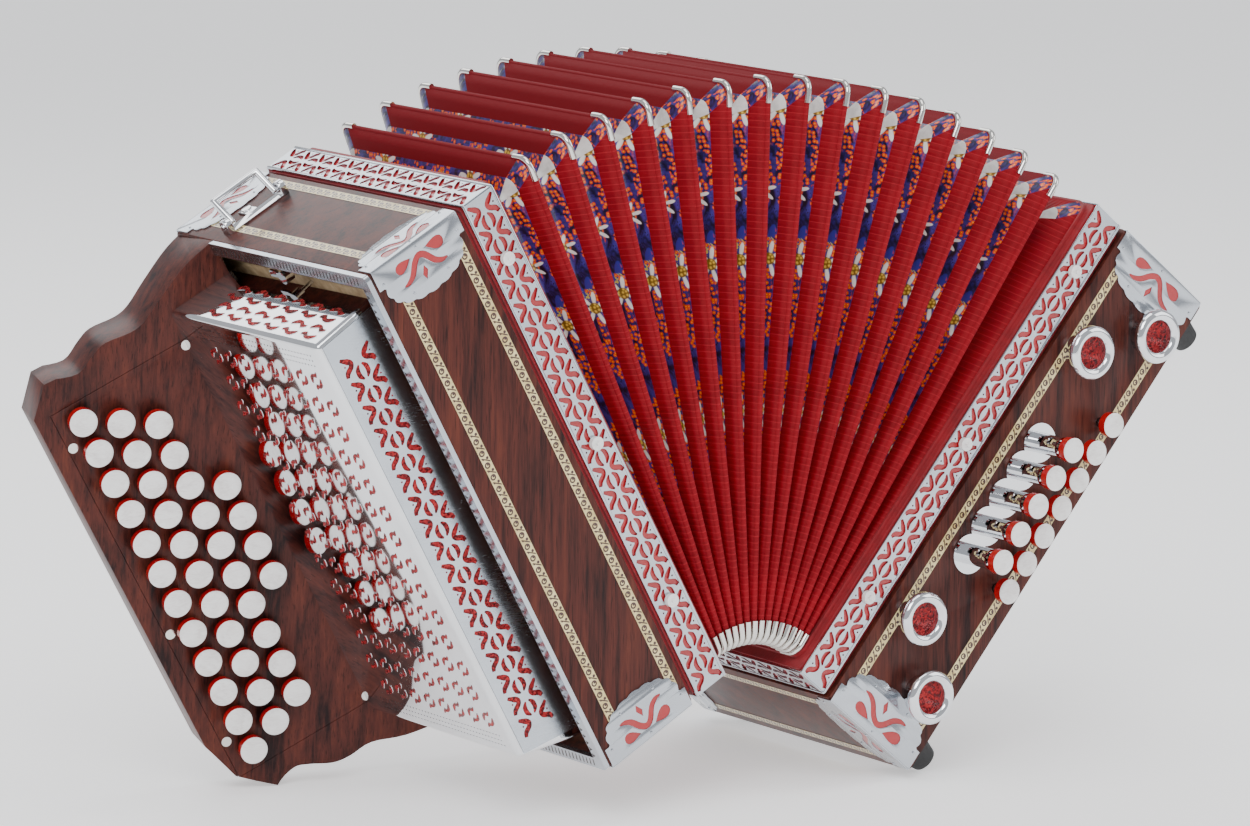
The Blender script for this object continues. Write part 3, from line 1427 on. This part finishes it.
def make_horns():
    """Four chrome sound horns with thick rolled rims."""
    rim = arc(12.9, 10.4, 3.6, -35, 165, 10)
    profile = [(12.0, 0.0), (12.2, 3.0), (13.0, 5.6)] + rim + [(9.8, 7.2), (9.6, 2.0)]
    horn = lathe("horn", profile)
    outward = Matrix.Rotation(math.radians(90), 4, "X")
    places = ((20, CASING_H - 75), (55, CASING_H - 38.5), (20, 72), (55, 39))
    horns = []
    for x, z in places:
        horns.append(copied(horn, Matrix.Translation((BASS_X + x, 0, z)) @ outward))
    piece = joined("sound_horn_set", horns)
    own(piece, BASS, "bass_side", "mirror_chrome", "chrome", smooth=50)
    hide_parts("sound_horns")
    dropped(horn)
    cloth = []
    for x, z in places:
        disc = dome("disc", 9.5, 1.2, 32)
        disc.data.transform(Matrix.Translation((BASS_X + x, -2.3, z)) @ outward)
        cloth.append(disc)
    own(joined("horn_foil", cloth), BASS, "bass_side", "red_cloth", "foil", smooth=60)


# ---------------------------------------------------------------------- finishes

CAD_FINISH = {
    "treble_action_board": "spruce", "treble_edge_trim": "nickel", "treble_reed_blocks": "spruce",
    "grille_hood": "chrome", "grille_cloth": "foil", "grille_thumb_screw": "chrome",
    "button_plate_screws": "rod", "lever_axle": "steel", "bail_base": "chrome", "strap_bail": "chrome",
    "treble_bellows_frame": "liner", "treble_frame_pins": "pearl", "bass_bellows_frame": "liner",
    "bass_frame_pins": "pearl", "sound_horns": "chrome", "horn_cloths": "foil",
    "bass_button_sleeves": "chrome", "rubber_feet": "black", "bass_reed_block": "spruce",
    "air_button": "pearl", **{f"treble_levers_row_{row}": "steel" for row in range(1, 5)},
}


def finish_cad_nodes():
    for node, paint in CAD_FINISH.items():
        piece = frame["nodes"][node]
        piece.data.materials.clear()
        piece.data.materials.append(PAINTS[paint])
        for face in piece.data.polygons:
            face.use_smooth = False


# ------------------------------------------------------------- camera and light


def make_stage():
    camera_data = bpy.data.cameras.new("camera")
    camera_data.lens = 179.8
    camera_data.sensor_width = 36
    camera_data.clip_end = 50
    camera = bpy.data.objects.new("camera", camera_data)
    bpy.context.scene.collection.objects.link(camera)
    rotate = TREBLE.to_3x3().normalized()
    right = (rotate @ Vector((0.720, -0.574, -0.390))).normalized()
    up = (rotate @ Vector((0.556, 0.139, 0.820))).normalized()
    back = right.cross(up)
    turn = Matrix((right, up, back)).transposed().to_4x4()
    camera.matrix_world = Matrix.Translation(TREBLE @ Vector((-1369.0, -2857.0, 1659.8))) @ turn
    bpy.context.scene.camera = camera

    bpy.ops.mesh.primitive_plane_add(size=12, location=(0, 0, cad_bounds[0][2] - 0.0005))
    floor = bpy.context.object
    floor.name = "floor"
    paint = Paint("pale_floor", (0.9, 0.9, 0.9), 0.7)
    paint.shader.inputs["Emission Color"].default_value = (1, 1, 1, 1)
    paint.shader.inputs["Emission Strength"].default_value = 0.62
    floor.data.materials.append(paint.material)

    world = bpy.data.worlds.new("studio")
    bpy.context.scene.world = world
    world.use_nodes = True
    world.node_tree.nodes["Background"].inputs[0].default_value = (0.93, 0.95, 1.0, 1)
    world.node_tree.nodes["Background"].inputs[1].default_value = 0.6
    for name, place, size, power in (
        ("key", (-1.6, -1.9, 2.3), 1.6, 55),
        ("fill", (2.1, -1.5, 1.5), 1.8, 22),
        ("back", (0.2, 1.9, 1.9), 1.6, 20),
        ("top", (0, -0.2, 2.6), 1.4, 18),
    ):
        data = bpy.data.lights.new(name, "AREA")
        data.size = size
        data.energy = power
        light = bpy.data.objects.new(name, data)
        bpy.context.scene.collection.objects.link(light)
        aim = Vector((0, 0, 0.2)) - Vector(place)
        light.location = place
        light.rotation_euler = aim.to_track_quat("-Z", "Y").to_euler()


make_stage()
finish_cad_nodes()
make_casings()
inlay_strips("treble_inlays", 0, (14.6, 58.6), TREBLE, "treble_side", 16)
inlay_strips("bass_inlays", BASS_X, (11, 68), BASS, "bass_side", 16)
make_corner_plates("treble", 0, TREBLE_W, TREBLE, "treble_side")
make_corner_plates("bass", BASS_X, BASS_W, BASS, "bass_side")
make_frame_band("treble", FRAME_X, TREBLE, "treble_side")
make_frame_band("bass", BASS_FRAME_X, BASS, "bass_side")
for gap in range(FOLDS + 1):
    make_cards(gap)
make_crests()
make_treble_buttons()
make_bass_buttons()
make_hood()
make_hood_motifs()
make_trim_teeth()
make_horns()
softened("strap_bail_rod", "strap_bail", 0.15, "strap_bail", "mirror_chrome", "chrome", 60, 2)
softened("strap_bail_base", "bail_base", 0.4, "treble_side", "mirror_chrome", "chrome", 40, 2)
